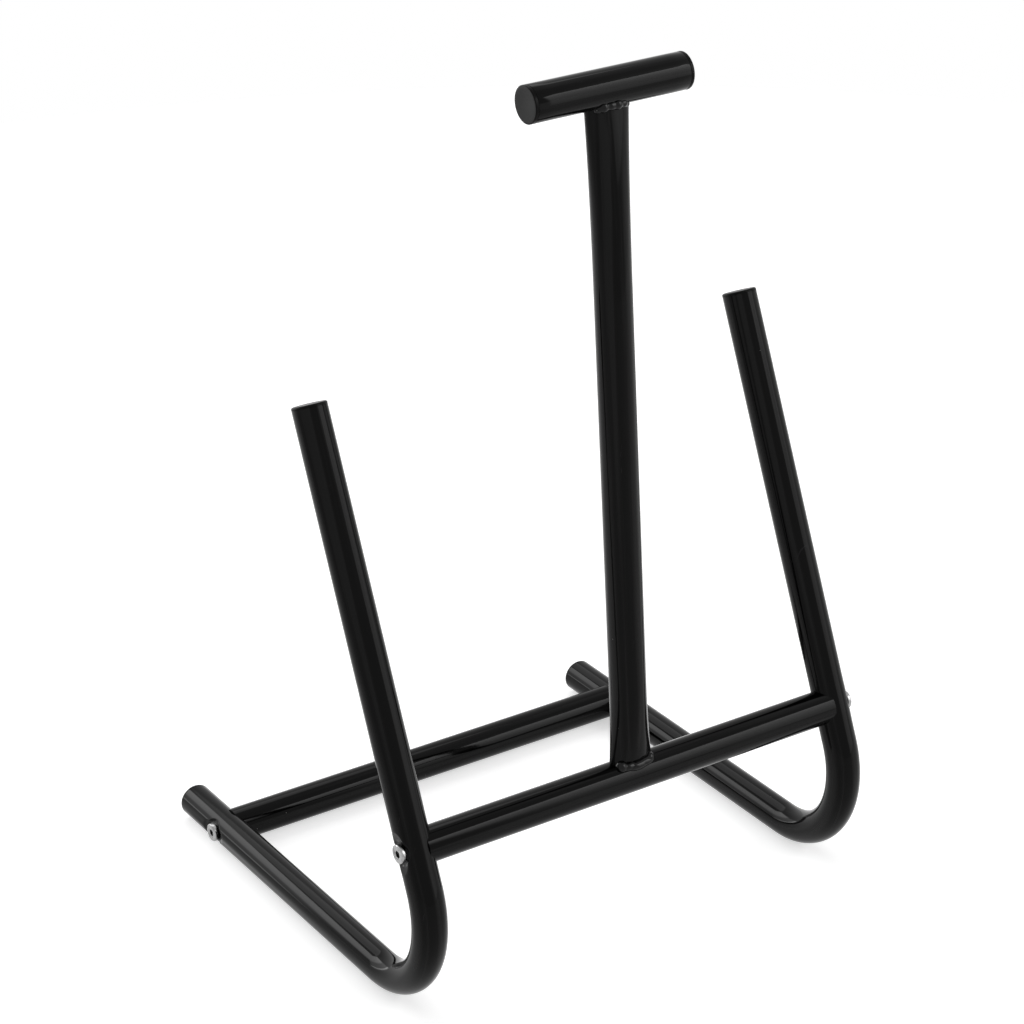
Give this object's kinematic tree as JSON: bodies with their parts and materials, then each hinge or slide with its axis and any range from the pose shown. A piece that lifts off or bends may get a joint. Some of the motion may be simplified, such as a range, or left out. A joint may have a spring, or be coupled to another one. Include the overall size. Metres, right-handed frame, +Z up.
{
  "type": "boot rack",
  "caption": "Free-standing steel tube rack: bent side tubes form floor legs and leaning posts for upside-down boots, with bolted cross tubes and a T handle.",
  "frame": {"origin": "on the floor, at the middle of the rectangle that the rack covers", "axes": "+X to the right as seen from the front, where the bends are; +Y to the rear, towards the open ends of the floor legs; +Z up"},
  "size_m": [0.3882, 0.3666, 0.6509],
  "materials": {
    "gloss_black_paint": "gloss black paint on steel tube",
    "black_plastic": "moulded black plastic, fine satin",
    "bright_zinc": "bright zinc plating",
    "bare_steel": "turned steel"
  },
  "bodies": {
    "root": {"side_tube_left": "gloss_black_paint", "side_tube_right": "gloss_black_paint", "front_cross_tube": "gloss_black_paint", "rear_cross_tube": "gloss_black_paint", "post_tube": "gloss_black_paint", "handle_tube": "gloss_black_paint", "foot_weld": "gloss_black_paint", "handle_weld": "gloss_black_paint", "rear_cap_left": "black_plastic", "rear_cap_right": "black_plastic", "leg_cap_left": "black_plastic", "leg_cap_right": "black_plastic", "handle_cap_left": "black_plastic", "handle_cap_right": "black_plastic", "bolt_front_left": "bright_zinc", "bolt_front_right": "bright_zinc", "bolt_rear_left": "bright_zinc", "bolt_rear_right": "bright_zinc", "insert_front_left": "bare_steel", "insert_front_right": "bare_steel", "insert_rear_left": "bare_steel", "insert_rear_right": "bare_steel"}
  },
  "joints": []
}
